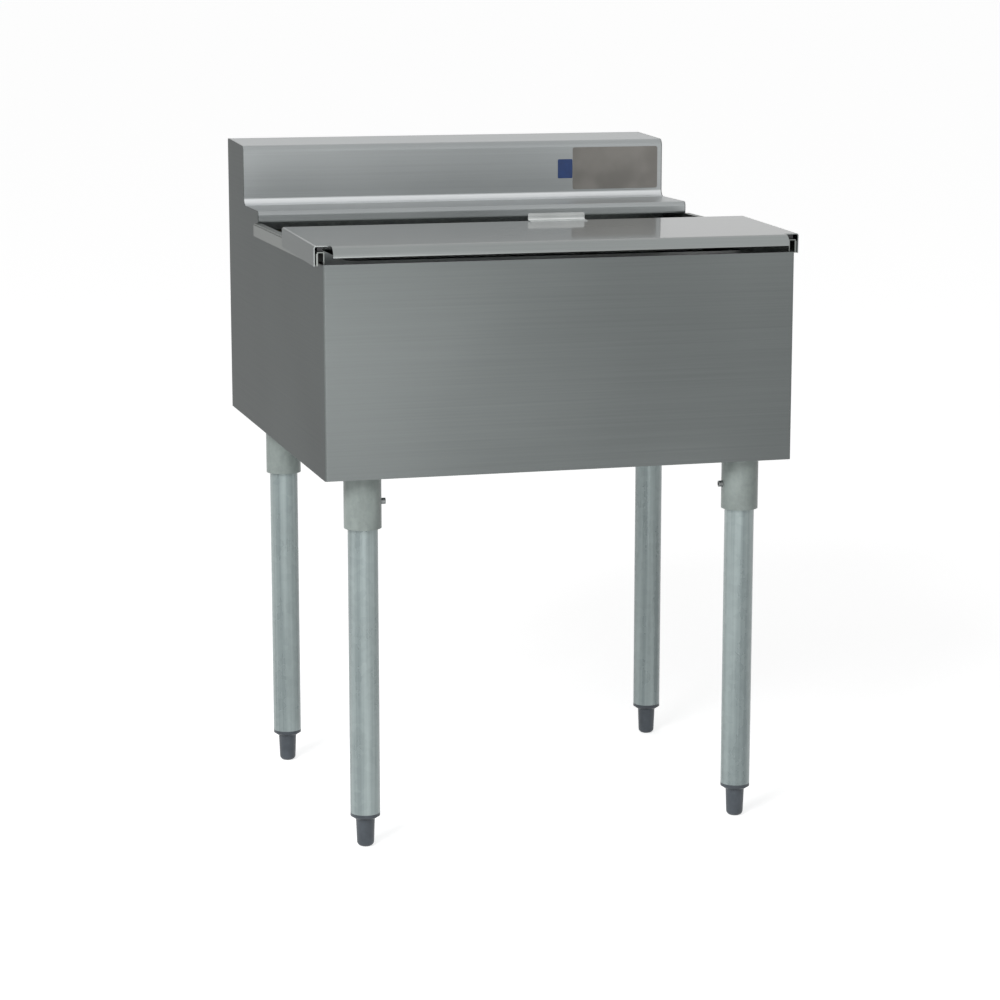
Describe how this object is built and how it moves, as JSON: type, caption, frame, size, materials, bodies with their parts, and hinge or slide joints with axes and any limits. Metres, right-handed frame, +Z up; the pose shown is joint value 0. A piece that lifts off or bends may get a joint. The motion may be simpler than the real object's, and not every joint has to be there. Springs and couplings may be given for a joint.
{
  "type": "underbar ice bin",
  "caption": "Insulated steel ice bin on four adjustable legs, with a drain, a rear deck, a backsplash and sliding covers.",
  "frame": {"origin": "on the floor, midway between the front cover's lip and the back edge, in the middle of the width", "axes": "+Z up, +Y towards the wall behind, +X to the right seen from the front"},
  "size_m": [0.628, 0.6476, 0.8635],
  "materials": {
    "stainless_sheet": "satin stainless sheet",
    "stainless_cover": "bright stainless sheet",
    "stainless_basin": "satin stainless",
    "galvanised_sheet": "dull galvanised sheet",
    "galvanised_tube": "galvanised tube",
    "galvanised_cast": "dull galvanised casting",
    "foam": "rigid foam",
    "drain_metal": "plated fitting",
    "gasket_rubber": "matt rubber",
    "foot_plastic": "dark grey plastic",
    "glide_plastic": "black slippery plastic",
    "screw_steel": "dark screw steel"
  },
  "bodies": {
    "bin": {"casing_shell": "stainless_sheet", "bottom_pan": "galvanised_sheet", "rear_wall": "galvanised_sheet", "insulation_foam": "foam", "basin_liner": "stainless_basin", "left_runner": "stainless_sheet", "right_runner": "stainless_sheet", "deck_and_splash": "stainless_sheet", "left_splash_end": "stainless_sheet", "right_splash_end": "stainless_sheet", "drain_body": "drain_metal", "drain_gasket": "gasket_rubber", "drain_nut": "drain_metal", "outlet_pipe": "drain_metal", "socket_set_screws": "screw_steel", "front_left_socket": "galvanised_cast", "front_left_leg": "galvanised_tube", "front_left_insert": "foot_plastic", "front_right_socket": "galvanised_cast", "front_right_leg": "galvanised_tube", "front_right_insert": "foot_plastic", "rear_left_socket": "galvanised_cast", "rear_left_leg": "galvanised_tube", "rear_left_insert": "foot_plastic", "rear_right_socket": "galvanised_cast", "rear_right_leg": "galvanised_tube", "rear_right_insert": "foot_plastic"},
    "upper_cover": {"front_cover": "stainless_cover", "front_cover_left_glide": "glide_plastic", "front_cover_right_glide": "glide_plastic", "front_cover_pull": "stainless_cover"},
    "lower_cover": {"rear_cover": "stainless_cover"},
    "strainer": {"drain_strainer": "stainless_basin"},
    "front_left_bullet": {"front_left_foot": "foot_plastic"},
    "front_right_bullet": {"front_right_foot": "foot_plastic"},
    "rear_left_bullet": {"rear_left_foot": "foot_plastic"},
    "rear_right_bullet": {"rear_right_foot": "foot_plastic"}
  },
  "joints": [
    {"name": "front_cover_slide", "type": "slide", "parent": "bin", "child": "upper_cover", "axis": [0, 1, 0], "range_m": [0, 0.209]},
    {"name": "rear_cover_slide", "type": "slide", "parent": "bin", "child": "lower_cover", "axis": [0, -1, 0], "range_m": [0, 0.146]},
    {"name": "strainer_lift", "type": "slide", "parent": "bin", "child": "strainer", "axis": [0, 0, 1], "range_m": [0, 0.2]},
    {"name": "front_left_levelling", "type": "slide", "parent": "bin", "child": "front_left_bullet", "axis": [0, 0, -1], "range_m": [0, 0.025]},
    {"name": "front_right_levelling", "type": "slide", "parent": "bin", "child": "front_right_bullet", "axis": [0, 0, -1], "range_m": [0, 0.025]},
    {"name": "rear_left_levelling", "type": "slide", "parent": "bin", "child": "rear_left_bullet", "axis": [0, 0, -1], "range_m": [0, 0.025]},
    {"name": "rear_right_levelling", "type": "slide", "parent": "bin", "child": "rear_right_bullet", "axis": [0, 0, -1], "range_m": [0, 0.025]}
  ]
}
